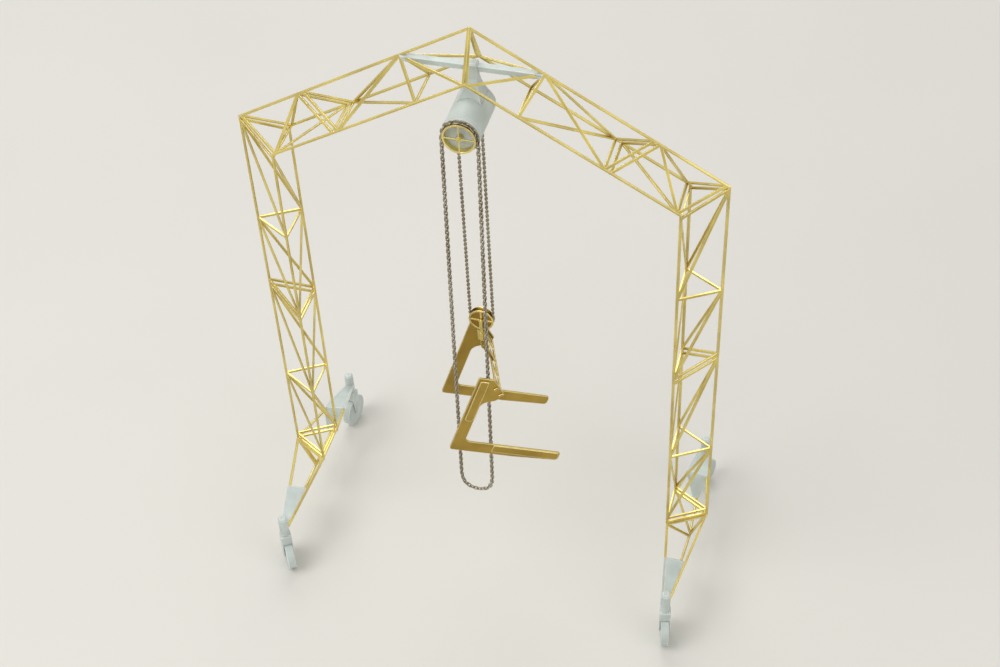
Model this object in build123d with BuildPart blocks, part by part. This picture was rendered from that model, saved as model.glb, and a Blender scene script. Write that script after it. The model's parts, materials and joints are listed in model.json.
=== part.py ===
"""Gantry crane of folded lattice trusses on castors, with a hand chain hoist and a pallet fork.

Millimetres. X runs along the span, Y away from the hand wheel, Z up from the floor.
"""
import os
from math import asin, atan2, cos, degrees, pi, radians, sin, sqrt, tan

from build123d import *

os.makedirs("parts", exist_ok=True)

# portal: the outer rail's line, all other rails follow from the section
half_span = 37.5
base_height = 13.95
eave_height = 86.24
roof_pitch = 30.0

# truss section and etched sheet
truss_side = 7.5
sheet = 0.25
rail = 0.42
lace = 0.42
pair_gap = 1.05

# frames of the trusses: heights on a column, fractions along a girder's top rail
upper_frame = 65.9
splice_height = 51.93
lower_frame = 30.2
girder_splice = 0.284
beam_node = 0.713

# bogies and castors
bogie_drop = 6.46
bogie_shift = 2.88
castor_x = half_span - 3.62
castor_y = 17.69
bar_meet = 9.2
bar_taper = 0.18
post_radius = 0.8
post_bottom = 8.35
post_top = 12.5
kingpin_radius = 0.42
wheel_radius = 3.0
wheel_width = 1.3
axle_radius = 0.33
crown_base = 6.15
crown_top = 8.25
fork_width = 1.9
castor_turn = {"front_left": 34, "front_right": 12, "rear_left": -8, "rear_right": -25}
running = 0.03

# hoist
hoist_height = 94.2
drum_radius = 2.85
drum_front = -6.9
drum_rear = 2.1
cover = 0.8
drum_bore = 2.3
beam_height = 0.85
beam_depth = 1.0
neck_width = 1.75
neck_depth = 1.6
shaft_radius = 0.27
hand_y = drum_front - 0.44
hand_radius = 2.52
hand_pitch = 2.7
hand_drop = 73.8
hand_lean = 0.9

# chains: inner length, width and wire of a link, and the step from link to link
link_inner = 0.66
link_width = 0.64
wire = 0.16
link_step = 0.62

# load block
fall_y = -2.7
fall_radius = 1.875
block_height = 54.33
sheave_radius = 2.04
sheave_pin_radius = 0.2
cheek_gap = 1.1
cheek = 0.2
cheek_width = 0.5
bridge_top = block_height - 2.33
bridge_base = block_height - 4.33
stud_radius = 0.25
tilt_height = block_height - 5.83

# pallet fork: plates turned about the load line, drooping from level
fork_turn = 22.6
fork_droop = 20.0
fork_spread = 12.9
fork_plate = 0.28
corner_out = -7.05
corner_height = block_height - 22.06
back_length = 16.3
back_width = 2.0
tine_length = 18.8
tine_top = 1.7
tine_base = -0.5
spreader_bar = 0.32
back_overlay = 0.2
tine_overlay = 0.12

truss_depth = truss_side * sqrt(3) / 2
pitch = radians(roof_pitch)
mitre = (pi / 2 - pitch) / 2
mitre_drop = truss_depth * tan(mitre)
girder_length = half_span / cos(pitch)
half_pair = pair_gap / 2
column = Plane(origin=(-half_span, 0, 0), x_dir=(1, 0, 0), z_dir=(0, 0, 1))
girder = Plane(origin=(-half_span, 0, eave_height), x_dir=(sin(pitch), 0, -cos(pitch)),
               z_dir=(cos(pitch), 0, sin(pitch)))


def save(part, name):
    part.label = name
    export_step(part, f"parts/{name}.step")


def fold_planes(section):
    """The three folded faces of a truss, each with x along the rails and y from rail to rail."""
    rails = [section.from_local_coords(Vector(*spot)) for spot in (
        (0, 0, 0), (truss_depth, -truss_side / 2, 0), (truss_depth, truss_side / 2, 0))]
    return [Plane(origin=here, x_dir=section.z_dir, z_dir=section.z_dir.cross(there - here))
            for here, there in zip(rails, rails[1:] + rails[:1])]


def strip(start, end, width):
    """A flat bar between two points of the open sketch."""
    run = Vector(*end) - Vector(*start)
    middle = (Vector(*end) + Vector(*start)) * 0.5
    turn = degrees(asin(run.Y / run.length))
    with Locations(Location((middle.X, middle.Y), (0, 0, turn if run.X >= 0 else 180 - turn))):
        Rectangle(run.length, width)


def ring(outer, inner):
    """A cross frame: one bar on each folded face, from outer rail station to inner rail station."""
    return [(0, outer, inner), (1, inner, inner), (2, inner, outer)]


def joint(point):
    """The plane of a mitred joint through a point of the outer rail."""
    return Plane(origin=point, z_dir=(sin(mitre), 0, cos(mitre)))


def truss(name, section, start, stop, bars, ends):
    """One length of truss, cut at its two joint planes, and its mirror image."""
    with BuildPart() as length:
        for number, face in enumerate(fold_planes(section)):
            with BuildSketch(face):
                with Locations(((start + stop) / 2, rail / 2), ((start + stop) / 2, truss_side - rail / 2)):
                    Rectangle(stop - start, rail)
                for where, first, last in bars:
                    if where == number:
                        strip((first, rail / 2), (last, truss_side - rail / 2), lace)
            extrude(amount=sheet)
        for plane, keep in ends:
            split(bisect_by=plane, keep=keep)
    right = mirror(length.part, about=Plane.YZ)
    save(length.part, f"left_{name}")
    save(right, f"right_{name}")
    return length.part, right


base_cut = Plane.XY.offset(base_height)
splice_cut = joint((-half_span, 0, splice_height))
eave_cut = joint((-half_span, 0, eave_height))
girder_cut = joint(girder.from_local_coords(Vector(0, 0, girder_splice * girder_length)))
ridge_cut = Plane(origin=(0, 0, 0), z_dir=(1, 0, 0))

# lower column: base, one frame, splice
low, mid = base_height + half_pair, lower_frame
top, top_in = splice_height - half_pair, splice_height - mitre_drop - half_pair
truss("column_lower", column, base_height - 1, splice_height + 1,
      ring(low, low) + ring(mid, mid) + ring(top, top_in)
      + [(0, top, mid), (2, mid, top), (1, mid, top_in), (0, mid, low), (2, low, mid), (1, mid, low)],
      [(base_cut, Keep.TOP), (splice_cut, Keep.BOTTOM)])

# upper column: splice, one frame, eave
low, low_in = splice_height + half_pair, splice_height - mitre_drop + half_pair
mid = upper_frame
top, top_in = eave_height - half_pair, eave_height - mitre_drop - half_pair
truss("column_upper", column, splice_height - mitre_drop - 1, eave_height + 1,
      ring(low, low_in) + ring(mid, mid) + ring(top, top_in)
      + [(0, top, mid), (2, mid, top), (1, top_in, mid), (0, mid, low_in), (2, low_in, mid), (1, low_in, mid)],
      [(splice_cut, Keep.TOP), (eave_cut, Keep.BOTTOM)])

# outer girder: eave, splice
near, near_in = half_pair, mitre_drop + half_pair
far = girder_splice * girder_length - half_pair
far_in = far + mitre_drop
truss("girder_outer", girder, -1, far_in + 1.5,
      ring(near, near_in) + ring(far, far_in) + [(0, far, near_in), (2, near_in, far), (1, near_in, far_in)],
      [(eave_cut, Keep.TOP), (girder_cut, Keep.BOTTOM)])

# inner girder: splice, beam node, ridge; the ridge frame is open below for the hoist's neck
near, near_in = far + pair_gap, far_in + pair_gap
mid = beam_node * girder_length
far, far_in = girder_length - lace / 2, girder_length - truss_depth * tan(pitch) - lace / 2
left_inner, right_inner = truss(
    "girder_inner", girder, near - 1.5, girder_length + 1,
    ring(near, near_in) + ring(mid, mid) + [(0, far, far_in), (2, far_in, far)]
    + [(0, mid, near_in), (2, near_in, mid), (1, mid, near_in), (0, mid, far_in), (2, far_in, mid)],
    [(girder_cut, Keep.TOP), (ridge_cut, Keep.BOTTOM)])

# bogie: a collar under the column and two tapered box frames of bars that run to the castor posts
bogie_top = base_height - 0.6
toe = Vector(-castor_x, -castor_y, bar_meet)
heels = [Vector(-half_span, 0, bogie_top),
         Vector(-half_span + truss_depth, -truss_side / 2, bogie_top),
         Vector(-half_span + bogie_shift, 0, bogie_drop)]
heart = (heels[0] + heels[1] + heels[2]) * (1 / 3)
toes = [toe + (heel - heart) * bar_taper for heel in heels]

with BuildPart() as left_bogie:
    for face in fold_planes(column):
        with BuildSketch(face):
            middle = base_height - half_pair
            with Locations((middle, rail / 2), (middle, truss_side - rail / 2)):
                Rectangle(pair_gap, rail)
            strip((middle, rail / 2), (middle, truss_side - rail / 2), lace)
        extrude(amount=sheet)
    for here in range(3):
        there = (here + 1) % 3
        facing = (heels[there] - heels[here]).cross(toes[here] - heels[here])
        facing = facing if facing.dot(heart - heels[here]) > 0 else facing * -1
        face = Plane(origin=heels[here], x_dir=heels[there] - heels[here], z_dir=facing)
        with BuildSketch(face):
            with BuildLine():
                Polyline(*[face.to_local_coords(spot) for spot in (
                    heels[here], heels[there], toes[there], toes[here])], close=True)
            make_face()
            offset(amount=-rail, kind=Kind.INTERSECTION, mode=Mode.SUBTRACT)
        extrude(amount=sheet)
    mirror(about=Plane.XZ)
    split(bisect_by=base_cut, keep=Keep.BOTTOM)
    stop = 3 - 0.7 * post_radius
    with Locations((toe.X, toe.Y - stop, bar_meet), (toe.X, stop - toe.Y, bar_meet)):
        Box(6, 6, 4, mode=Mode.SUBTRACT)
right_bogie = mirror(left_bogie.part, about=Plane.YZ)
save(left_bogie.part, "left_bogie")
save(right_bogie, "right_bogie")

# foot castings: a wedge moulded over the narrow end of the frame, and the upright post with its bore
starts = [heel + (end - heel) * share for heel, end, share in zip(heels, toes, (0.55, 0.42, 0.35))]


def foot_casting(bare):
    """Casting of the front left foot, over all the bars but the one that lies bare along its edge."""
    with BuildPart() as foot:
        for spots in (starts, toes):
            centre = (spots[0] + spots[1] + spots[2]) * (1 / 3)
            corners = [spot + (spot - centre).normalized() * (-0.12 if number == bare else 0.28)
                       for number, spot in enumerate(spots)]
            first = corners[1] - corners[0]
            end = Plane(origin=corners[0], x_dir=first, z_dir=first.cross(corners[2] - corners[0]))
            with BuildSketch(end):
                with BuildLine():
                    Polyline(*[end.to_local_coords(spot) for spot in corners], close=True)
                make_face()
        loft(ruled=True)
        with BuildSketch(Plane.XY.offset(post_bottom)):
            with Locations((toe.X, toe.Y)):
                Circle(post_radius)
        extrude(amount=post_top - post_bottom)
        chamfer(foot.edges().group_by(Axis.Z)[-1], 0.3)
        split(bisect_by=Plane.XY.offset(post_bottom), keep=Keep.TOP)
        with BuildSketch(Plane.XY.offset(post_bottom)):
            with Locations((toe.X, toe.Y)):
                Circle(kingpin_radius + running)
        extrude(amount=3.2, mode=Mode.SUBTRACT)
        add(left_bogie.part, mode=Mode.SUBTRACT)
    return foot.part


rear_foot = mirror(foot_casting(None), about=Plane.XZ)
save(foot_casting(1), "foot_front_left")
save(mirror(foot_casting(0), about=Plane.YZ), "foot_front_right")
save(rear_foot, "foot_rear_left")
save(mirror(rear_foot, about=Plane.YZ), "foot_rear_right")

# castors: x of the side plane is the rolling line, its normal the axle
for place, turn in castor_turn.items():
    x = castor_x if "right" in place else -castor_x
    y = castor_y if "rear" in place else -castor_y
    axle_line = Vector(cos(radians(turn)), sin(radians(turn)), 0)
    side = Plane(origin=(x, y, 0), x_dir=(-axle_line.Y, axle_line.X, 0), z_dir=axle_line)

    with BuildPart() as castor_fork:
        with BuildSketch(side):
            with BuildLine():
                Polyline((0.9, crown_top), (0.9, crown_base - 0.3), (0.62, wheel_radius), (-0.62, wheel_radius),
                         (-0.9, crown_base - 0.3), (-0.9, crown_top), close=True)
            make_face()
            with Locations((0, wheel_radius)):
                Circle(0.62)
        extrude(amount=fork_width / 2, both=True)
        chamfer(castor_fork.edges().group_by(Axis.Z)[-1], 0.3)
        with BuildSketch(side):
            with Locations((0, crown_base / 2)):
                Rectangle(4, crown_base)
        extrude(amount=wheel_width / 2 + 0.06, both=True, mode=Mode.SUBTRACT)
        with BuildSketch(side):
            with Locations((0, wheel_radius)):
                Circle(axle_radius)
        extrude(amount=fork_width, both=True, mode=Mode.SUBTRACT)
        with BuildSketch(Plane.XY.offset(crown_base + 0.4)):
            with Locations((x, y)):
                Circle(kingpin_radius)
        extrude(amount=4, mode=Mode.SUBTRACT)
    save(castor_fork.part, f"castor_fork_{place}")

    with BuildPart() as kingpin:
        with BuildSketch(Plane.XY.offset(crown_base + 0.4)):
            with Locations((x, y)):
                Circle(kingpin_radius)
        extrude(amount=post_bottom + 3.1 - crown_base - 0.4)
    save(kingpin.part, f"kingpin_{place}")

    with BuildPart() as wheel:
        with BuildSketch(side):
            with Locations((0, wheel_radius)):
                Circle(wheel_radius)
        extrude(amount=wheel_width / 2, both=True)
        with BuildSketch(side):
            with Locations((0, wheel_radius)):
                Circle(axle_radius + running)
        extrude(amount=wheel_width, both=True, mode=Mode.SUBTRACT)
    save(wheel.part, f"wheel_{place}")

    with BuildPart() as axle:
        with BuildSketch(side):
            with Locations((0, wheel_radius)):
                Circle(axle_radius)
        extrude(amount=fork_width / 2 + 0.06, both=True)
    save(axle.part, f"axle_{place}")


def across(y):
    """The upright plane at one depth, seen from the hand wheel, centred on the hoist's shaft."""
    return Plane(origin=(0, y, hoist_height), x_dir=(1, 0, 0), z_dir=(0, -1, 0))


# cross beam: it ends on the frames of the beam nodes; its neck flares onto the drum
node_x = -half_span + beam_node * half_span
node_z = eave_height + (node_x + half_span) * tan(pitch)
beam_top = node_z
hub_top = beam_top + 0.4
neck_foot = hoist_height + drum_radius
inset = lace / 2 / cos(pitch)

with BuildPart() as cross_beam:
    with BuildSketch(Plane.XZ):
        with BuildLine():
            end_top = node_x + inset
            end_low = end_top + beam_height * tan(pitch)
            Polyline((end_top, beam_top), (-end_top, beam_top), (-end_low, beam_top - beam_height),
                     (end_low, beam_top - beam_height), close=True)
        make_face()
    extrude(amount=beam_depth / 2, both=True)
    add(left_inner, mode=Mode.SUBTRACT)
    add(right_inner, mode=Mode.SUBTRACT)
    with BuildSketch(Plane.XY.offset(neck_foot + 2.4)):
        Rectangle(neck_width, neck_depth)
    extrude(amount=hub_top - neck_foot - 2.4)
    chamfer(cross_beam.edges().group_by(Axis.Z)[-1], 0.2)
    for level, width, front, rear in ((2.4, neck_width, -neck_depth / 2, neck_depth / 2), (0.9, 2.3, -1.4, 1.2),
                                      (-0.9, 3.9, -2.6, drum_rear - 0.5)):
        with BuildSketch(Plane.XY.offset(neck_foot + level)):
            with Locations((0, (front + rear) / 2)):
                Rectangle(width, rear - front)
    loft(ruled=True)
    with BuildSketch(across(drum_front)):
        Circle(drum_radius)
    extrude(amount=drum_front - drum_rear, mode=Mode.SUBTRACT)
save(cross_beam.part, "cross_beam")

# anchor pin of the load chain's standing fall, driven through the drum's side
anchor_height = hoist_height - 1.1

with BuildPart() as chain_anchor_pin:
    with BuildSketch(Plane(origin=(-drum_radius - 0.05, fall_y, anchor_height), z_dir=(1, 0, 0))):
        Circle(0.1)
    extrude(amount=1.3)
save(chain_anchor_pin.part, "chain_anchor_pin")

with BuildPart() as hoist_casing:
    with BuildSketch(across(drum_front + cover)):
        Circle(drum_radius)
        Circle(drum_bore, mode=Mode.SUBTRACT)
    extrude(amount=drum_front - drum_rear + 2 * cover)
    with BuildSketch(Plane.XY.offset(hoist_height - drum_radius - 0.5)):
        with Locations((-fall_radius, fall_y), (fall_radius, fall_y)):
            Rectangle(1, 1)
    extrude(amount=drum_radius + 0.5, mode=Mode.SUBTRACT)
    add(chain_anchor_pin.part, mode=Mode.SUBTRACT)
save(hoist_casing.part, "hoist_casing")

with BuildPart() as hoist_front_cover:
    with BuildSketch(across(drum_front)):
        Circle(drum_radius)
        Circle(shaft_radius + running, mode=Mode.SUBTRACT)
    extrude(amount=-cover)
save(hoist_front_cover.part, "hoist_front_cover")

with BuildPart() as hoist_rear_cover:
    with BuildSketch(across(drum_rear - cover)):
        Circle(drum_radius)
    extrude(amount=-cover)
    chamfer(hoist_rear_cover.edges().group_by(Axis.Y)[-1], 0.5)
    with BuildSketch(across(drum_rear - cover)):
        Circle(shaft_radius + running)
    extrude(amount=-0.5, mode=Mode.SUBTRACT)
save(hoist_rear_cover.part, "hoist_rear_cover")

with BuildPart() as hoist_shaft:
    with BuildSketch(across(hand_y - 0.65)):
        Circle(shaft_radius)
    extrude(amount=hand_y - 0.65 - drum_rear + cover - 0.4)
save(hoist_shaft.part, "hoist_shaft")

floor_radius = fall_radius - link_width / 2 - 0.035

with BuildPart() as chain_barrel:
    with BuildSketch(across(fall_y - 0.65)):
        Circle(drum_bore - 0.1)
    extrude(amount=-1.3)
    with BuildSketch(across(fall_y - 0.45)):
        Circle(drum_bore)
        Circle(floor_radius, mode=Mode.SUBTRACT)
    extrude(amount=-0.9, mode=Mode.SUBTRACT)
    with BuildSketch(across(fall_y - 0.65)):
        Circle(shaft_radius)
    extrude(amount=-1.3, mode=Mode.SUBTRACT)
save(chain_barrel.part, "chain_barrel")

rim_floor = hand_pitch - link_width / 2 - 0.02

with BuildPart() as hand_wheel:
    with BuildSketch(across(hand_y - 0.48)):
        Circle(rim_floor)
    extrude(amount=-0.84)
    with BuildSketch(across(hand_y - 0.48)):
        Circle(hand_radius)
    extrude(amount=-0.12)
    with BuildSketch(across(hand_y - 0.48)):
        Circle(rim_floor - 0.12)
        Rectangle(2 * rim_floor, 0.2, mode=Mode.SUBTRACT)
        Rectangle(0.2, 2 * rim_floor, mode=Mode.SUBTRACT)
        Circle(shaft_radius + 0.17, mode=Mode.SUBTRACT)
    extrude(amount=-1, mode=Mode.SUBTRACT)
    with BuildSketch(across(hand_y - 0.34)):
        Circle(rim_floor - 0.12)
        Circle(shaft_radius + 0.17, mode=Mode.SUBTRACT)
    extrude(amount=-1, mode=Mode.SUBTRACT)
    with BuildSketch(across(hand_y - 0.48)):
        Circle(shaft_radius)
    extrude(amount=-1, mode=Mode.SUBTRACT)
save(hand_wheel.part, "hand_wheel")

# hand chain: an endless loop over the hand wheel, as a tube of the links' width
lean = radians(hand_lean)
hanging = Plane(origin=(0, hand_y, hoist_height), x_dir=(cos(lean), 0, -sin(lean)), z_dir=(0, -1, 0))

with BuildPart() as hand_chain:
    with BuildLine(hanging) as loop:
        Line((-hand_pitch, 0), (-hand_pitch, -hand_drop))
        RadiusArc((-hand_pitch, -hand_drop), (hand_pitch, -hand_drop), -hand_pitch)
        Line((hand_pitch, -hand_drop), (hand_pitch, 0))
        RadiusArc((hand_pitch, 0), (-hand_pitch, 0), -hand_pitch)
    start = loop.line @ 0
    with BuildSketch(Plane(origin=start, z_dir=loop.line % 0)):
        RegularPolygon(link_width / 2, 8)
    sweep(path=loop.wire())
save(hand_chain.part, "hand_chain")

# load chain: from the anchor pin round the block's sheave and up onto the barrel
standing = anchor_height - link_inner / 2 + 0.11
fall_long = standing - block_height
bend = pi * fall_radius
live = hoist_height - block_height
wrap = 1.7 * fall_radius
links = int((fall_long + bend + live + wrap) / link_step)
flat, upright = [], []
for number in range(links):
    run = number * link_step
    if run < fall_long:
        spot, along = Vector(-fall_radius, fall_y, standing - run), Vector(0, 0, -1)
    elif run < fall_long + bend:
        angle = pi + (run - fall_long) / fall_radius
        spot = Vector(fall_radius * cos(angle), fall_y, block_height + fall_radius * sin(angle))
        along = Vector(-sin(angle), 0, cos(angle))
    elif run < fall_long + bend + live:
        spot = Vector(fall_radius, fall_y, block_height + run - fall_long - bend)
        along = Vector(0, 0, 1)
    else:
        angle = (run - fall_long - bend - live) / fall_radius
        spot = Vector(fall_radius * cos(angle), fall_y, hoist_height + fall_radius * sin(angle))
        along = Vector(-sin(angle), 0, cos(angle))
    if number % 2:
        upright.append(Plane(origin=spot, x_dir=along, z_dir=(0, 1, 0)))
    else:
        flat.append(Plane(origin=spot, x_dir=along, z_dir=along.cross(Vector(0, 1, 0))))

with BuildPart() as load_chain:
    with BuildSketch(*flat, *upright):
        Rectangle(link_inner + 2 * wire, link_width)
        Rectangle(link_inner, link_width - 2 * wire, mode=Mode.SUBTRACT)
    extrude(amount=wire / 2, both=True)
save(load_chain.part, "load_chain")

# load block
block = Plane(origin=(0, fall_y, block_height), x_dir=(1, 0, 0), z_dir=(0, -1, 0))
cheek_out = cheek_gap / 2 + cheek

with BuildPart() as block_sheave:
    with BuildSketch(block):
        Circle(floor_radius)
    extrude(amount=0.36, both=True)
    with BuildSketch(block.offset(0.36), block.offset(-0.49)):
        Circle(sheave_radius)
        Circle(sheave_radius - 0.28, mode=Mode.SUBTRACT)
        Rectangle(2 * sheave_radius - 0.2, 0.28)
        Rectangle(0.28, 2 * sheave_radius - 0.2)
    extrude(amount=0.13)
    with BuildSketch(block):
        Circle(sheave_pin_radius + running)
    extrude(amount=1, both=True, mode=Mode.SUBTRACT)
save(block_sheave.part, "block_sheave")

with BuildPart() as sheave_pin:
    with BuildSketch(block):
        Circle(sheave_pin_radius)
    extrude(amount=cheek_out, both=True)
    with BuildSketch(block.offset(cheek_out), block.offset(-cheek_out - 0.12)):
        RegularPolygon(sheave_pin_radius + 0.1, 6)
    extrude(amount=0.12)
save(sheave_pin.part, "sheave_pin")

rivet_levels = (bridge_top - 0.4 - block_height, bridge_base + 0.6 - block_height)

with BuildPart() as block_rivets:
    with BuildSketch(block.offset(cheek_out + 0.1), block.offset(-cheek_gap / 2 + 0.07)):
        with Locations(*[(0, level) for level in rivet_levels]):
            RegularPolygon(0.13, 6)
    extrude(amount=-cheek - 0.17)
    with BuildSketch(block.offset(cheek_out), block.offset(-cheek_out - 0.1)):
        with Locations(*[(0, level) for level in rivet_levels]):
            RegularPolygon(0.21, 8)
    extrude(amount=0.1)
save(block_rivets.part, "block_rivets")

for place, level in (("front", cheek_gap / 2), ("rear", -cheek_out)):
    with BuildPart() as block_cheek:
        with BuildSketch(block.offset(level)):
            with Locations((0, (bridge_base - block_height) / 2)):
                Rectangle(cheek_width, block_height - bridge_base)
            Circle(cheek_width / 2 + 0.1)
            Circle(sheave_pin_radius, mode=Mode.SUBTRACT)
        extrude(amount=cheek)
        add(block_rivets.part, mode=Mode.SUBTRACT)
    save(block_cheek.part, f"block_cheek_{place}")

with BuildPart() as block_bridge:
    with BuildSketch(Plane.XY.offset(bridge_base)):
        with Locations((0, fall_y)):
            Rectangle(1.4, cheek_gap)
            Circle(stud_radius + running, mode=Mode.SUBTRACT)
    extrude(amount=bridge_top - bridge_base)
    with BuildSketch(Plane.XY.offset(bridge_top)):
        with Locations((0, fall_y)):
            Circle(0.44)
    extrude(amount=-0.6, mode=Mode.SUBTRACT)
    add(block_rivets.part, mode=Mode.SUBTRACT)
save(block_bridge.part, "block_bridge")

# swivel: a nut in the bridge's pocket holds the stud of the yoke
with BuildPart() as swivel_nut:
    with BuildSketch(Plane.XY.offset(bridge_top - 0.58)):
        with Locations((0, fall_y)):
            RegularPolygon(0.41, 6)
            Circle(stud_radius, mode=Mode.SUBTRACT)
    extrude(amount=0.45)
save(swivel_nut.part, "swivel_nut")

turn = radians(fork_turn)
droop = radians(fork_droop)
reach = Vector(cos(turn), sin(turn), 0)
cross = Vector(-sin(turn), cos(turn), 0)
load_line = Vector(0, fall_y, 0)
hang = Plane(origin=load_line + Vector(0, 0, tilt_height), x_dir=reach, z_dir=cross * -1)
yoke_top = bridge_base - 0.1
ear_gap = 0.28
ear_out = 0.55

with BuildPart() as yoke:
    with BuildSketch(hang):
        with Locations((0, (yoke_top - tilt_height) / 2)):
            Rectangle(0.84, yoke_top - tilt_height)
        Circle(0.42)
    extrude(amount=ear_out, both=True)
    with BuildSketch(hang):
        with Locations((0, -0.5)):
            Rectangle(2, 2.1)
    extrude(amount=ear_gap, both=True, mode=Mode.SUBTRACT)
    with BuildSketch(hang):
        Circle(0.22)
    extrude(amount=1, both=True, mode=Mode.SUBTRACT)
    with BuildSketch(Plane.XY.offset(yoke_top)):
        with Locations((0, fall_y)):
            Circle(stud_radius)
    extrude(amount=bridge_top - 0.1 - yoke_top)
save(yoke.part, "yoke")

with BuildPart() as yoke_pin:
    with BuildSketch(hang):
        Circle(0.22)
    extrude(amount=ear_out, both=True)
    with BuildSketch(hang.offset(ear_out), hang.offset(-ear_out - 0.1)):
        RegularPolygon(0.34, 6)
    extrude(amount=0.1)
save(yoke_pin.part, "yoke_pin")

# pallet fork: x of the arm plane runs along the tine and y up the back
tine_line = reach * cos(droop) - Vector(0, 0, sin(droop))
arm_plane = Plane(origin=load_line + reach * corner_out + Vector(0, 0, corner_height), x_dir=tine_line,
                  z_dir=cross * -1)
rail_spots = ((3.38, back_length - 1.79), (4.58, back_length - 2.93))
rail_lean = degrees(atan2(rail_spots[1][0] - rail_spots[0][0], rail_spots[0][1] - rail_spots[1][1]))
half_spread = fork_spread / 2
outside = half_spread + fork_plate / 2

with BuildPart() as fork_rivets:
    with BuildSketch(arm_plane.offset(outside + 0.18), arm_plane.offset(-outside + fork_plate + 0.4)):
        with Locations(*rail_spots):
            RegularPolygon(0.1, 6)
    extrude(amount=-fork_plate - 0.58)
    with BuildSketch(arm_plane.offset(outside), arm_plane.offset(-outside - 0.18)):
        with Locations(*rail_spots):
            Rectangle(0.84, 0.4, rotation=rail_lean)
    extrude(amount=0.18)
save(fork_rivets.part, "fork_rivets")

for place, level, skin, outward in (("front", half_spread - fork_plate / 2, outside, 1),
                                    ("rear", -outside, -outside, -1)):
    with BuildPart() as fork_arm:
        with BuildSketch(arm_plane.offset(level)):
            with BuildLine():
                FilletPolyline((0, tine_base), (0, back_length), (2.5, back_length), (5, back_length - 2.7),
                               (4.2, back_length - 4.4), (back_width, back_length - 5.5), (back_width, tine_top),
                               (tine_length, tine_top), (tine_length, -0.1), (11, tine_base),
                               radius=(0.5, 0.1, 0.2, 0.3, 0.8, 1.5, 1, 0.5, 0.6, 5), close=True)
            make_face()
        extrude(amount=fork_plate)
        add(fork_rivets.part, mode=Mode.SUBTRACT)
    save(fork_arm.part, f"fork_arm_{place}")

    with BuildPart() as back_strip:
        with BuildSketch(arm_plane.offset(skin)):
            with BuildLine():
                FilletPolyline((0.4, 6.6), (0.4, back_length - 0.5), (back_width - 0.15, back_length - 0.5),
                               (back_width - 0.15, 6.6), radius=(0.65, 0.1, 0.1, 0.65), close=True)
            make_face()
        extrude(amount=outward * back_overlay)
    save(back_strip.part, f"back_strip_{place}")

    with BuildPart() as tine_strip:
        with BuildSketch(arm_plane.offset(skin)):
            with BuildLine():
                FilletPolyline((7, 0.05), (7, tine_top - 0.06), (tine_length - 0.15, tine_top - 0.06),
                               (tine_length - 0.15, 0.05), radius=(0.2, 0.2, 0.5, 0.5), close=True)
            make_face()
        extrude(amount=outward * tine_overlay)
    save(tine_strip.part, f"tine_strip_{place}")

upper = arm_plane.from_local_coords(Vector(*rail_spots[0]))
lower = arm_plane.from_local_coords(Vector(*rail_spots[1]))
slope = (lower - upper).normalized()
spread_plane = Plane(origin=(upper + lower) * 0.5, x_dir=cross, z_dir=cross.cross(slope))
half_rails = (lower - upper).length / 2
half_length = half_spread - fork_plate / 2
bays = 4

with BuildPart() as spreader:
    with BuildSketch(spread_plane):
        with Locations((0, half_rails), (0, -half_rails)):
            Rectangle(2 * half_length, spreader_bar)
        with Locations((half_length - spreader_bar / 2, 0), (spreader_bar / 2 - half_length, 0)):
            Rectangle(spreader_bar, 2 * half_rails)
        for bay in range(bays):
            step = 2 * half_length / bays
            strip(((bay + 0.2) * step - half_length, half_rails), ((bay + 0.8) * step - half_length, -half_rails),
                  spreader_bar)
    extrude(amount=fork_plate / 2, both=True)
    add(fork_rivets.part, mode=Mode.SUBTRACT)
save(spreader.part, "spreader")

# hanger lug: an eye on the yoke pin and a tapered shank that stands on the spreader's upper rail
lug_plane = Plane(origin=upper, x_dir=slope, z_dir=cross * -1)
eye = lug_plane.to_local_coords(hang.origin)

with BuildPart() as hanger_lug:
    with BuildSketch(lug_plane):
        with BuildLine():
            Polyline((eye.X, eye.Y + 0.4), (eye.X, eye.Y - 0.4), (-spreader_bar / 2, fork_plate / 2),
                     (spreader_bar / 2, fork_plate / 2), (spreader_bar / 2, 0.5), close=True)
        make_face()
        with Locations((eye.X, eye.Y)):
            Circle(0.45)
            Circle(0.22 + running, mode=Mode.SUBTRACT)
    extrude(amount=ear_gap - running, both=True)
save(hanger_lug.part, "hanger_lug")
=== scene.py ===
"""Looks of a model gantry crane: etched brass lattice, cast resin fittings and fine link chain.

Lengths are written in millimetres of the real model and held in metres.
"""

import json
import math

import bpy
import numpy as np
from mathutils import Matrix, Vector


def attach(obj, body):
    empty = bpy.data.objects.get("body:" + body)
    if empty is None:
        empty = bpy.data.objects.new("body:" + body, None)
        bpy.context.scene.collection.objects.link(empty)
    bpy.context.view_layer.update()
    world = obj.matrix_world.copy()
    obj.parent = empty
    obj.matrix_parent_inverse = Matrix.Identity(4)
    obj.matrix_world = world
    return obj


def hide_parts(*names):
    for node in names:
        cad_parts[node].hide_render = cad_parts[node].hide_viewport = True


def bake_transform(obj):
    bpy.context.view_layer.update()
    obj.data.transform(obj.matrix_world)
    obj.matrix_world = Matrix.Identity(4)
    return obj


bl_info = {
    "name": "Gantry Crane Looks",
    "version": (1, 0, 0),
    "blender": (4, 5, 0),
    "location": "View3D > Sidebar > Crane",
    "description": "Finishes, chains and studio for a lattice gantry crane",
    "category": "Object",
}

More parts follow.
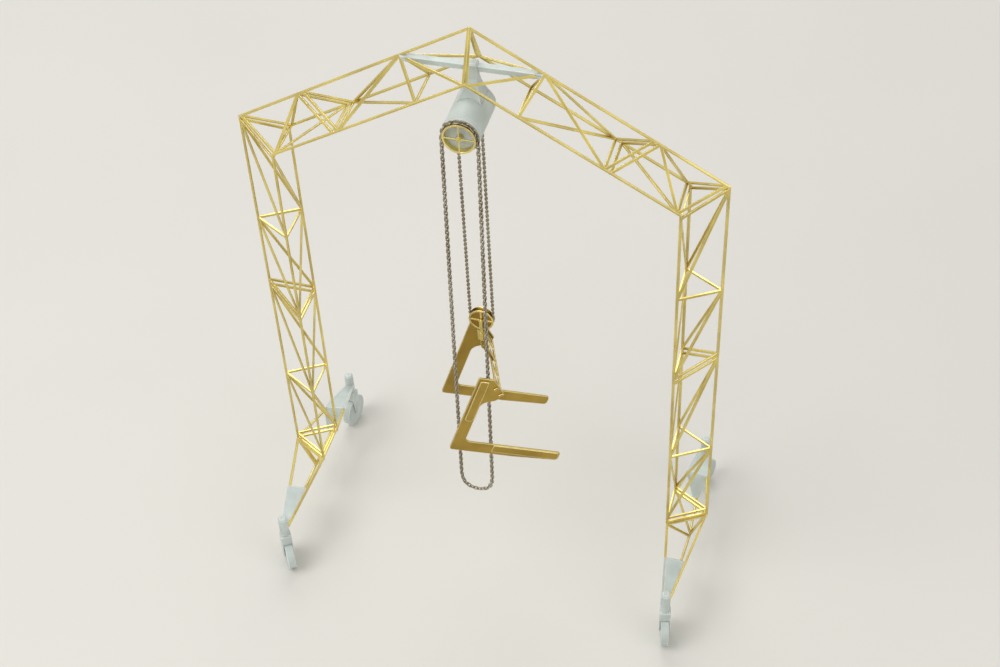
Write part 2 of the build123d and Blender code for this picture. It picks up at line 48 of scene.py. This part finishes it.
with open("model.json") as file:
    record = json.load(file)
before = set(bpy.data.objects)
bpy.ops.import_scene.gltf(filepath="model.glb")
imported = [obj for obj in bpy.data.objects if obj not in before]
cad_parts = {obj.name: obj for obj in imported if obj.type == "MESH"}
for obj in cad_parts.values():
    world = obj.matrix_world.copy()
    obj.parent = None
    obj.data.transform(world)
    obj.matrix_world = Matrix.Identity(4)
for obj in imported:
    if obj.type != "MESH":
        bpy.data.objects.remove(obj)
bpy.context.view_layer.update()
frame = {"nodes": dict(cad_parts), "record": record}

MM = 0.001
WHITE, BLACK = (1, 1, 1, 1), (0, 0, 0, 1)
CHAIN_FINISH = "dull drawn brass"
ACROSS = (0, 1, 0)  # square to the planes in which the chains hang
CORNER = math.tan(math.pi / 8)  # half a side of the octagon about a circle of radius 1
EASE = 6  # a fall is straight from this many hand chain links off a wheel's axis
FLOOR_HALF, FLOOR_SUNK = 2.0, 0.02 * MM
LAMPS = (  # name, place and size, in metres
    ("key", (-0.22, -0.2, 0.42), 0.3),
    ("fill", (0.4, -0.2, 0.3), 0.35),
    ("rim", (-0.12, 0.4, 0.5), 0.35),
)
LIT_SPOT = Vector((0, 0, 0.05))
SENSOR_MM = 36


def linear(code):
    """Linear RGBA of an sRGB hex value."""
    channels = [int(code[i:i + 2], 16) / 255 for i in (1, 3, 5)]
    return [c / 12.92 if c <= 0.04045 else ((c + 0.055) / 1.055) ** 2.4 for c in channels] + [1.0]


def blended(colour, other, share):
    """A colour carried a share of the way to another."""
    return [c + share * (o - c) for c, o in zip(colour, other)]


def add_node(tree, kind, inputs=None, **settings):
    """Adds a node with its settings; an input takes a value, or another node's output to link."""
    made = tree.nodes.new(kind)
    for name, value in settings.items():
        setattr(made, name, value)
    for name, value in (inputs or {}).items():
        if isinstance(value, bpy.types.NodeSocket):
            tree.links.new(value, made.inputs[name])
        else:
            made.inputs[name].default_value = value
    return made


def new_material(name):
    """An empty node material and its tree."""
    material = bpy.data.materials.new(name)
    material.use_nodes = True
    material.node_tree.nodes.clear()
    return material, material.node_tree


def finish_material(tree, shader):
    """Links a shader to the material's output."""
    add_node(tree, "ShaderNodeOutputMaterial", {"Surface": shader.outputs[0]})


def edge_wear_and_highlight(tree, reach):
    """How near an edge a point lies, from 0 on a flat to 1 on the edge, and the normal rounded over
    that edge. The rounded normal and the true one part company only within the reach."""
    flat, edge = math.cos(math.radians(2.56)), math.cos(math.radians(16.26))
    rounded = add_node(tree, "ShaderNodeBevel", {"Radius": reach}, samples=6)
    true = add_node(tree, "ShaderNodeNewGeometry")
    agree = add_node(tree, "ShaderNodeVectorMath", {
        0: rounded.outputs["Normal"], 1: true.outputs["Normal"]}, operation="DOT_PRODUCT")
    near = add_node(tree, "ShaderNodeMapRange", {
        "Value": agree.outputs["Value"], "From Min": flat, "From Max": edge})
    return near.outputs["Result"], rounded.outputs["Normal"]


def worn_and_edge_lit_colour(tree, cloud, span, dark, colour, edge, bare_and_highlit):
    """The colour of a used surface: from dark to its own colour over a span of a cloud's density,
    and along the edges the edge colour, which is partly wear and partly a painted highlight."""
    tone = add_node(tree, "ShaderNodeValToRGB", {"Fac": cloud})
    for stop, density, shown in zip(tone.color_ramp.elements, span, (dark, colour)):
        stop.position, stop.color = density, shown
    worn = add_node(tree, "ShaderNodeMixRGB", {
        "Fac": edge, "Color1": tone.outputs["Color"], "Color2": bare_and_highlit})
    return worn.outputs["Color"]


def bare_brass(name, finish, colour, rough, reach, rub_and_highlight):
    """Bare etched or drawn brass: a yellow mirror broken by the metal's soft grain, duller and
    browner in patches some 6 mm across where it has been handled, and lighter within a reach, in
    millimetres, of its edges, partly worn brass and partly a painted highlight for the light the
    edges catch."""
    patch_size, film, dulled = 6 * MM, 0.4, 0.1
    # the etch's own pits are 0.03 mm, too fine to show, so they are drawn 0.3 mm wide
    pit_size, pit_depth = 0.3 * MM, 0.02 * MM
    material, tree = new_material(name)
    place = add_node(tree, "ShaderNodeTexCoord").outputs["Object"]
    patch = add_node(tree, "ShaderNodeTexNoise", {
        "Vector": place, "Scale": 1 / patch_size, "Detail": 3.0})
    pits = add_node(tree, "ShaderNodeTexNoise", {
        "Vector": place, "Scale": 1 / pit_size, "Detail": 2.0})
    edge, normal = edge_wear_and_highlight(tree, reach * MM)
    # painted highlight: the edge colour stands for the light that edges catch as well as for worn
    # brass
    tarnished, rubbed_and_highlit = blended(colour, finish.tarnish, film), blended(colour, finish.rubbed_and_highlit, rub_and_highlight)
    tint = worn_and_edge_lit_colour(tree, patch.outputs["Fac"], (0.35, 0.62), tarnished, colour, edge, rubbed_and_highlit)
    dull = add_node(tree, "ShaderNodeMapRange", {
        "Value": patch.outputs["Fac"], "From Min": 0.3, "From Max": 0.7,
        "To Min": rough + dulled, "To Max": rough})
    relief = add_node(tree, "ShaderNodeBump", {
        "Height": pits.outputs["Fac"], "Strength": 0.25, "Distance": pit_depth, "Normal": normal})
    shader = add_node(tree, "ShaderNodeBsdfPrincipled", {
        "Base Color": tint, "Metallic": 1.0, "Roughness": dull.outputs["Result"],
        "Normal": relief.outputs["Normal"]})
    finish_material(tree, shader)
    return material


def cast_resin(name, colour):
    """Pale grey casting resin: satin, a little see-through at its thin edges, with a faint orange
    peel, cloudy where the mix was thin, and lighter along its corners, partly scuffs and partly a
    painted highlight."""
    cloud_size, peel_size, peel_depth = 4 * MM, 0.35 * MM, 0.03 * MM
    corner_reach, light_reach = 0.16 * MM, 0.6 * MM
    material, tree = new_material(name)
    place = add_node(tree, "ShaderNodeTexCoord").outputs["Object"]
    cloud = add_node(tree, "ShaderNodeTexNoise", {
        "Vector": place, "Scale": 1 / cloud_size, "Detail": 4.0})
    peel = add_node(tree, "ShaderNodeTexNoise", {
        "Vector": place, "Scale": 1 / peel_size, "Detail": 2.0})
    edge, normal = edge_wear_and_highlight(tree, corner_reach)
    # painted highlight as well as scuffing: the corners are carried halfway to white
    thin, scuffed_and_highlit = blended(colour, BLACK, 0.23), blended(colour, WHITE, 0.5)
    tint = worn_and_edge_lit_colour(tree, cloud.outputs["Fac"], (0.3, 0.7), thin, colour, edge, scuffed_and_highlit)
    relief = add_node(tree, "ShaderNodeBump", {
        "Height": peel.outputs["Fac"], "Strength": 0.3, "Distance": peel_depth, "Normal": normal})
    shader = add_node(tree, "ShaderNodeBsdfPrincipled", {
        "Base Color": tint, "Roughness": 0.4, "IOR": 1.5, "Subsurface Weight": 0.35,
        "Subsurface Radius": (1.0, 1.0, 1.0), "Subsurface Scale": light_reach,
        "Normal": relief.outputs["Normal"]})
    finish_material(tree, shader)
    return material


def seen_or_mirrored(tree):
    """1 for a ray from the eye, or one thrown back by metal or let through by glass, and 0 for
    other light."""
    ray = add_node(tree, "ShaderNodeLightPath").outputs
    mirrored = add_node(tree, "ShaderNodeMath", {
        0: ray["Is Glossy Ray"], 1: ray["Is Transmission Ray"]}, operation="MAXIMUM")
    seen = add_node(tree, "ShaderNodeMath", {
        0: ray["Is Camera Ray"], 1: mirrored.outputs[0]}, operation="MAXIMUM")
    return seen.outputs[0]


def pale_floor(name, colour, sky):
    """Matt painted board: even and pale, with a faint cloud some 60 mm across, lost in the sky far
    from the crane."""
    cloud_size, fade_from, fade_to = 60 * MM, 150 * MM, 700 * MM
    material, tree = new_material(name)
    place = add_node(tree, "ShaderNodeTexCoord").outputs["Object"]
    cloud = add_node(tree, "ShaderNodeTexNoise", {
        "Vector": place, "Scale": 1 / cloud_size, "Detail": 3.0})
    value = add_node(tree, "ShaderNodeMapRange", {
        "Value": cloud.outputs["Fac"], "To Min": 0.97, "To Max": 1.03})
    tone = add_node(tree, "ShaderNodeHueSaturation", {
        "Color": colour, "Value": value.outputs["Result"]})
    board = add_node(tree, "ShaderNodeBsdfPrincipled", {
        "Base Color": tone.outputs["Color"], "Roughness": 0.8})
    away = add_node(tree, "ShaderNodeVectorMath", {0: place}, operation="LENGTH")
    fade = add_node(tree, "ShaderNodeMapRange", {
        "Value": away.outputs["Value"], "From Min": fade_from, "From Max": fade_to,
        "To Max": seen_or_mirrored(tree)}, interpolation_type="SMOOTHSTEP")
    haze = add_node(tree, "ShaderNodeEmission", {"Color": sky})
    shader = add_node(tree, "ShaderNodeMixShader", {
        "Fac": fade.outputs["Result"], 1: board.outputs[0], 2: haze.outputs[0]})
    finish_material(tree, shader)
    return material


def nodes_of(slot):
    """Names of the part's nodes in a material slot."""
    return [part["node"] for part in frame["record"]["subparts"] if part["material_slot"] == slot]


def put_on(name, finish):
    """Gives one of the part's nodes a finish all over."""
    slots = frame["nodes"][name].data.materials
    slots.clear()
    slots.append(finish)


def mesh_piece(name, points, faces, material, smooth=True):
    """A mesh object at the origin from arrays of points in metres and of faces."""
    mesh = bpy.data.meshes.new(name)
    mesh.from_pydata(points.reshape(-1, 3).tolist(), [], faces.tolist())
    mesh.polygons.foreach_set("use_smooth", np.full(len(mesh.polygons), smooth))
    mesh.materials.append(material)
    mesh.update()
    piece = bpy.data.objects.new(name, mesh)
    bpy.context.scene.collection.objects.link(piece)
    return piece


def grid_faces(rows, columns, closed=False):
    """Quads between neighbouring points of a grid that is open, or closed both ways."""
    edge = 0 if closed else 1
    i, j = np.meshgrid(np.arange(rows - edge), np.arange(columns - edge), indexing="ij")
    after, beside = (i + 1) % rows, (j + 1) % columns
    corners = (i, j), (after, j), (after, beside), (i, beside)
    return np.stack([row * columns + column for row, column in corners], axis=-1).reshape(-1, 4)


def unit(vectors):
    """Vectors in rows, each brought to a length of 1."""
    return vectors / np.linalg.norm(vectors, axis=1)[:, None]


def distances(line):
    """How far along a line each of its points lies."""
    return np.r_[0, np.cumsum(np.linalg.norm(np.diff(line, axis=0), axis=1))]


def route_line(name, points):
    """Points along a smooth NURBS route through control points in metres."""
    curve = bpy.data.curves.new(name, "CURVE")
    curve.dimensions = "3D"
    curve.resolution_u = 24
    spline = curve.splines.new("NURBS")
    spline.points.add(len(points) - 1)
    spline.points.foreach_set("co", np.c_[points, np.ones(len(points))].ravel())
    spline.order_u = 3
    spline.use_endpoint_u = True
    guide = bpy.data.objects.new(name, curve)
    line = bpy.data.meshes.new_from_object(guide)
    spots = np.empty(len(line.vertices) * 3)
    line.vertices.foreach_get("co", spots)
    bpy.data.objects.remove(guide)
    bpy.data.curves.remove(curve)
    bpy.data.meshes.remove(line)
    return spots.reshape(-1, 3)


def chain_surface(line, step, inner, outer, wire, twist):
    """Links along a line. A link's wire runs round a stadium, two half circles moved apart by its
    straight sides, and the wire is a ring of points about that centreline. The links stand
    alternately at the chain's twist and a quarter turn on from it, and the twist dies away where
    the chain lies level over a wheel."""
    bends, ring = 12, 5  # points round a link, and round its wire
    lengths = distances(line)
    run = lengths[-1]
    count = int(run / step)
    at = np.linspace(0, run, count + 1)[:-1] + run / count / 2
    spot, ahead, behind = (
        np.stack([np.interp(at + shift, lengths, line[:, axis]) for axis in range(3)], axis=1)
        for shift in (0, step / 2, -step / 2))
    along = unit(ahead - behind)
    level = unit(np.cross(along, ACROSS))
    upright = np.cross(level, along)
    turned = (twist * along[:, 2] + np.arange(count) % 2 * np.pi / 2)[:, None]
    side = level * np.cos(turned) + upright * np.sin(turned)
    up = upright * np.cos(turned) - level * np.sin(turned)
    turn = ((np.arange(bends) + 0.5) * 2 * np.pi / bends)[:, None]
    roll = (np.arange(ring) * 2 * np.pi / ring)[None, :]
    bow = (outer - wire) / 2
    straight = (inner + wire) / 2 - bow
    reach = np.cos(turn) * (bow + wire / 2 * np.cos(roll)) + np.sign(np.cos(turn)) * straight
    width = np.sin(turn) * (bow + wire / 2 * np.cos(roll))
    depth = np.broadcast_to(wire / 2 * np.sin(roll), reach.shape)
    points = spot[:, None, None] + sum(
        offset[None, ..., None] * axis[:, None, None]
        for offset, axis in ((reach, along), (width, side), (depth, up)))
    firsts = np.arange(count) * bends * ring
    quad = grid_faces(bends, ring, closed=True)[:, ::-1]  # faces outwards
    return points, (firsts[:, None, None] + quad).reshape(-1, 4)


def chain_piece(name, line, colours, links):
    """A chain along a line, from its links' step, inner length, width, wire and twist."""
    finish = bpy.data.materials.get(CHAIN_FINISH) or bare_brass(
        CHAIN_FINISH, colours, colours.chain, rough=0.3, reach=0.05, rub_and_highlight=0.5)
    piece = mesh_piece(name, *chain_surface(line, *links), finish)
    return piece


def hang_sky(scene, colour):
    """An even sky, at full strength where it is seen or mirrored and less where it lights matt
    surfaces."""
    world = bpy.data.worlds.new("studio")
    world.use_nodes = True
    tree = world.node_tree
    tree.nodes.clear()
    strength = add_node(tree, "ShaderNodeMapRange", {
        "Value": seen_or_mirrored(tree), "To Min": 0.65, "To Max": 1.0})
    sky = add_node(tree, "ShaderNodeBackground", {
        "Color": colour, "Strength": strength.outputs["Result"]})
    add_node(tree, "ShaderNodeOutputWorld", {"Surface": sky.outputs[0]})
    scene.world = world


def lay_floor(studio):
    """A flat square grid, sunk a hair below the wheels."""
    side = np.linspace(-FLOOR_HALF, FLOOR_HALF, 3)
    x, y = np.meshgrid(side, side, indexing="ij")
    points = np.stack([x, y, np.full_like(x, -FLOOR_SUNK)], axis=-1)
    finish = pale_floor("pale board", studio.floor, studio.sky)
    floor = mesh_piece("floor", points, grid_faces(*x.shape), finish, smooth=False)


def set_lamp(scene, name, watts, place, size):
    """A square soft lamp that faces the crane."""
    lamp = bpy.data.lights.new(name, "AREA")
    lamp.size, lamp.energy = size, watts
    holder = bpy.data.objects.new(name, lamp)
    holder.location = place
    holder.rotation_euler = (LIT_SPOT - Vector(place)).to_track_quat("-Z", "Y").to_euler()
    scene.collection.objects.link(holder)


def set_camera(scene, view):
    """A camera turned by its azimuth and elevation, then rolled about its line of sight."""
    a, e, roll = view.azimuth, view.elevation, view.roll
    ahead = Vector((-math.sin(a) * math.cos(e), math.cos(a) * math.cos(e), -math.sin(e)))
    level = Vector((math.cos(a), math.sin(a), 0))
    upright = level.cross(ahead)
    right = level * math.cos(roll) + upright * math.sin(roll)
    up = upright * math.cos(roll) - level * math.sin(roll)
    camera = bpy.data.cameras.new("camera")
    camera.sensor_width, camera.lens = SENSOR_MM, view.lens
    camera.clip_start, camera.clip_end = 0.005, 20
    eye = bpy.data.objects.new("camera", camera)
    turned = Matrix((right, up, -ahead)).transposed().to_4x4()
    eye.matrix_world = Matrix.Translation(view.place) @ turned
    scene.collection.objects.link(eye)
    scene.camera = eye


def length(name, description, mm):
    """A length setting, given in millimetres."""
    return bpy.props.FloatProperty(
        name=name, description=description, default=mm * MM, precision=5, subtype="DISTANCE")


def angle(name, description, degrees):
    """An angle setting, given in degrees."""
    return bpy.props.FloatProperty(
        name=name, description=description, default=math.radians(degrees), subtype="ANGLE")


def shade(name, description, code):
    """A colour setting, given as an sRGB hex value."""
    return bpy.props.FloatVectorProperty(
        name=name, description=description, default=linear(code), size=4, min=0, max=1,
        subtype="COLOR")


def power(name, description, watts):
    """A lamp's power setting, given in watts."""
    return bpy.props.FloatProperty(
        name=name, description=description, default=watts, min=0, unit="POWER")


class CraneChain(bpy.types.PropertyGroup):
    """Sizes of the links of the open hand chain and of the close load chain."""
    hand_step: length("Hand chain step", "From link to link", 0.637)
    hand_inner: length("Hand chain inner length", "Inside length of a link", 0.67)
    hand_width: length("Hand chain width", "Outside width of a link", 0.78)
    hand_wire: length("Hand chain wire", "Thickness of a link's wire", 0.22)
    hand_twist: angle("Hand chain twist", "Of the links out of the chain's plane", 13)
    load_step: length("Load chain step", "From link to link", 0.42)
    load_inner: length("Load chain inner length", "Inside length of a link", 0.45)
    load_width: length("Load chain width", "Outside width of a link", 0.56)
    load_wire: length("Load chain wire", "Thickness of a link's wire", 0.18)
    load_twist: angle("Load chain twist", "Of the links out of the chain's plane", 58)


class CraneHoist(bpy.types.PropertyGroup):
    """Places of the chains, and sizes of the sheave's webs."""
    height: length("Shaft height", "Hoist shaft above the floor", 94.2)
    hand_y: length("Hand chain depth", "Place of the hand chain's plane", -7.34)
    hand_radius: length("Hand chain radius", "Of its run on the hand wheel", 2.7)
    hand_drop: length("Hand chain drop", "Straight fall of the hand chain", 73.8)
    hand_lean: angle("Hand chain lean", "Of the hand chain off plumb", 0.9)
    fall_y: length("Load chain depth", "Place of the load chain's plane", -2.7)
    fall_radius: length("Load chain radius", "Of its run on the sheave", 1.875)
    block: length("Block height", "Sheave's axis above the floor", 54.33)
    anchor: length("Anchor height", "Pin of the standing end above the floor", 93.1)
    web_bore: length("Web bore", "Inner radius of a sheave's web", 0.3)
    web_rim: length("Web rim", "Outer radius of a sheave's web", 1.79)
    web_depth: length("Web depth", "Of a web from the sheave's middle", 0.34)
    web_sheet: length("Web sheet", "Thickness of a sheave's web", 0.07)


class CraneFinish(bpy.types.PropertyGroup):
    """Colours of the metal and of the castings."""
    lattice: shade("Lattice", "Etched sheet of the trusses", "#E2CF7A")
    plate: shade("Plate", "Plates of the fork", "#B4984A")
    wheel: shade("Wheels", "Polished hand wheel and sheave", "#EED988")
    web: shade("Webs", "Tarnished webs of the sheave", "#A07E34")
    chain: shade("Chains", "Drawn wire of the chains, gone grey", "#A8A292")
    tarnish: shade("Tarnish", "Brown film on handled brass", "#6B4E14")
    # painted highlight as well as wear: this pale colour is laid along every brass edge
    rubbed_and_highlit: shade("Rubbed edges", "Bare brass along the edges", "#F6E8A8")
    resin: shade("Resin", "Castings", "#CCD6D2")


class CraneStudio(bpy.types.PropertyGroup):
    """Lamps, floor and sky."""
    key: power("Key lamp", "Front left", 1.05)
    fill: power("Fill lamp", "Front right", 0.4)
    rim: power("Rim lamp", "Behind and above", 1.0)
    floor: shade("Floor", "Painted board", "#D9D7D1")
    sky: shade("Sky", "Surroundings", "#F2F1EE")


class CraneCamera(bpy.types.PropertyGroup):
    """Where the picture is taken from."""
    place: bpy.props.FloatVectorProperty(
        name="Place", description="Camera's place", default=(0.06225, -0.18833, 0.24566),
        subtype="TRANSLATION")
    azimuth: angle("Azimuth", "Turn round the crane", 17.74)
    elevation: angle("Elevation", "Look down", 44.88)
    roll: angle("Roll", "Lean of the camera", -3.18)
    lens: bpy.props.FloatProperty(
        name="Lens", description="Focal length on a 36 mm sensor", default=62.33, unit="CAMERA")


class CRANE_OT_brasswork(bpy.types.Operator):
    """Gives the folded trusses, the fork's plates, the wheels and the pins their brass"""
    bl_idname = "crane.brasswork"
    bl_label = "Etched brass"

    def execute(self, context):
        colours = context.scene.crane_finish
        lattice = bare_brass(
            "etched sheet brass", colours, colours.lattice, rough=0.22, reach=0.08, rub_and_highlight=1.0)
        plate = bare_brass(
            "tarnished plate brass", colours, colours.plate, rough=0.28, reach=0.16, rub_and_highlight=0.85)
        # painted highlight on the fork's rims as well as wear: the strips are lightened up to 0.3
        # mm in from their edges
        strip = bare_brass(
            "rubbed strip brass", colours, colours.plate, rough=0.24, reach=0.3, rub_and_highlight=1.0)
        wheel = bare_brass(
            "polished sheet brass", colours, colours.wheel, rough=0.18, reach=0.08, rub_and_highlight=1.0)
        fork = frame["record"]["behaviour"]["bodies"]["fork"]
        for name in nodes_of("brass"):
            if name in ("hand_wheel", "block_sheave"):
                put_on(name, wheel)
            elif "strip" in name:
                put_on(name, strip)
            else:
                put_on(name, plate if name in fork else lattice)
        return {"FINISHED"}


class CRANE_OT_castings(bpy.types.Operator):
    """Gives the castings their resin"""
    bl_idname = "crane.castings"
    bl_label = "Cast resin"

    def execute(self, context):
        resin = cast_resin("cast polyurethane resin", context.scene.crane_finish.resin)
        for name in nodes_of("resin"):
            put_on(name, resin)
        return {"FINISHED"}


class CRANE_OT_hand_chain(bpy.types.Operator):
    """Hangs the endless hand chain over its wheel"""
    bl_idname = "crane.hand_chain"
    bl_label = "Hand chain"

    def execute(self, context):
        sizes, chain = context.scene.crane_hoist, context.scene.crane_chain
        r, drop, lean = sizes.hand_radius, sizes.hand_drop, sizes.hand_lean
        corner, near = r * CORNER, EASE * chain.hand_step
        # from the wheel's top down the right fall, and back up its mirror image
        half = np.array([
            (0, r), (corner, r), (r, corner), (r, -near),
            (r, near - drop), (r, -drop - corner), (corner, -drop - r)])
        u, v = np.concatenate([half, half[::-1] * (-1, 1)]).T
        route = np.c_[
            u * math.cos(lean) + v * math.sin(lean), np.full(len(u), sizes.hand_y),
            sizes.height - u * math.sin(lean) + v * math.cos(lean)]
        line = route_line("hand_chain_route", route)
        piece = chain_piece("hand_chain_links", line, context.scene.crane_finish, (
            chain.hand_step, chain.hand_inner, chain.hand_width, chain.hand_wire,
            chain.hand_twist))
        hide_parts("hand_chain")
        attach(piece, "frame")
        return {"FINISHED"}


class CRANE_OT_load_chain(bpy.types.Operator):
    """Reeves the load chain from its anchor round the sheave and onto the barrel"""
    bl_idname = "crane.load_chain"
    bl_label = "Load chain"

    def execute(self, context):
        sizes, chain = context.scene.crane_hoist, context.scene.crane_chain
        r, block, top = sizes.fall_radius, sizes.block, sizes.height
        corner, near = r * CORNER, EASE * chain.hand_step
        tail = 0.4 * r  # of the hauling end, past the barrel's top
        u, v = np.array([
            (-r, sizes.anchor), (-r, block + near), (-r, block - corner), (-corner, block - r),
            (corner, block - r), (r, block - corner), (r, block + near), (r, top - near),
            (r, top + corner), (corner, top + r), (-tail, top + r)]).T
        line = route_line("load_chain_route", np.c_[u, np.full(len(u), sizes.fall_y), v])
        piece = chain_piece("load_chain_links", line, context.scene.crane_finish, (
            chain.load_step, chain.load_inner, chain.load_width, chain.load_wire,
            chain.load_twist))
        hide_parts("load_chain")
        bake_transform(piece)
        return {"FINISHED"}


class CRANE_OT_sheave_webs(bpy.types.Operator):
    """Closes the sheave's spoked flanges with thin webs"""
    bl_idname = "crane.sheave_webs"
    bl_label = "Sheave webs"

    def execute(self, context):
        sizes, colours, steps = context.scene.crane_hoist, context.scene.crane_finish, 64
        inside, outside = -sizes.web_depth, -sizes.web_depth - sizes.web_sheet
        # each web is a rectangle of radius and depth carried round the sheave's axis
        radius = np.array([sizes.web_bore, sizes.web_rim, sizes.web_rim, sizes.web_bore])
        depth = np.broadcast_to((outside, outside, inside, inside), (steps, len(radius)))
        turn = (np.arange(steps) * 2 * np.pi / steps)[:, None]
        web = np.stack([radius * np.cos(turn), depth, radius * np.sin(turn)], axis=-1)
        webs = np.stack([web, web[::-1] * (1, -1, 1)]) + (0, sizes.fall_y, sizes.block)
        quad = grid_faces(*depth.shape, closed=True)[:, ::-1]
        faces = np.concatenate([quad, quad + depth.size])
        finish = bare_brass(
            "tarnished sheet brass", colours, colours.web, rough=0.3, reach=0.08, rub_and_highlight=0.6)
        piece = mesh_piece("sheave_webs", webs, faces, finish, smooth=False)
        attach(piece, "sheave")
        return {"FINISHED"}


class CRANE_OT_stage(bpy.types.Operator):
    """Hangs the sky, lays the floor and sets the lamps and the camera"""
    bl_idname = "crane.stage"
    bl_label = "Studio"

    def execute(self, context):
        scene, studio = context.scene, context.scene.crane_studio
        scene.view_settings.view_transform = "Standard"
        hang_sky(scene, studio.sky)
        lay_floor(studio)
        for name, place, size in LAMPS:
            set_lamp(scene, name, getattr(studio, name), place, size)
        set_camera(scene, scene.crane_camera)
        return {"FINISHED"}


class CRANE_PT_panel(bpy.types.Panel):
    """The crane's settings and steps"""
    bl_label = "Gantry crane"
    bl_idname = "CRANE_PT_panel"
    bl_space_type = "VIEW_3D"
    bl_region_type = "UI"
    bl_category = "Crane"

    def draw(self, context):
        for setting, group in SETTINGS.items():
            for name in group.__annotations__:
                self.layout.prop(getattr(context.scene, setting), name)
        for step in STEPS:
            self.layout.operator(step.bl_idname)


SETTINGS = {
    "crane_chain": CraneChain, "crane_hoist": CraneHoist, "crane_finish": CraneFinish,
    "crane_studio": CraneStudio, "crane_camera": CraneCamera}
STEPS = (
    CRANE_OT_brasswork, CRANE_OT_castings, CRANE_OT_hand_chain, CRANE_OT_load_chain,
    CRANE_OT_sheave_webs, CRANE_OT_stage)


def register():
    """Adds the settings to the scene, then the steps and the panel."""
    for name, group in SETTINGS.items():
        bpy.utils.register_class(group)
        setattr(bpy.types.Scene, name, bpy.props.PointerProperty(type=group))
    for step in (*STEPS, CRANE_PT_panel):
        bpy.utils.register_class(step)


def unregister():
    """Takes away what register added, in the opposite order."""
    for step in (CRANE_PT_panel, *reversed(STEPS)):
        bpy.utils.unregister_class(step)
    for name, group in reversed(SETTINGS.items()):
        delattr(bpy.types.Scene, name)
        bpy.utils.unregister_class(group)


def main():
    """Runs every step in order."""
    register()
    for step in STEPS:
        family, name = step.bl_idname.split(".")
        getattr(getattr(bpy.ops, family), name)()


if __name__ == "__main__":
    main()
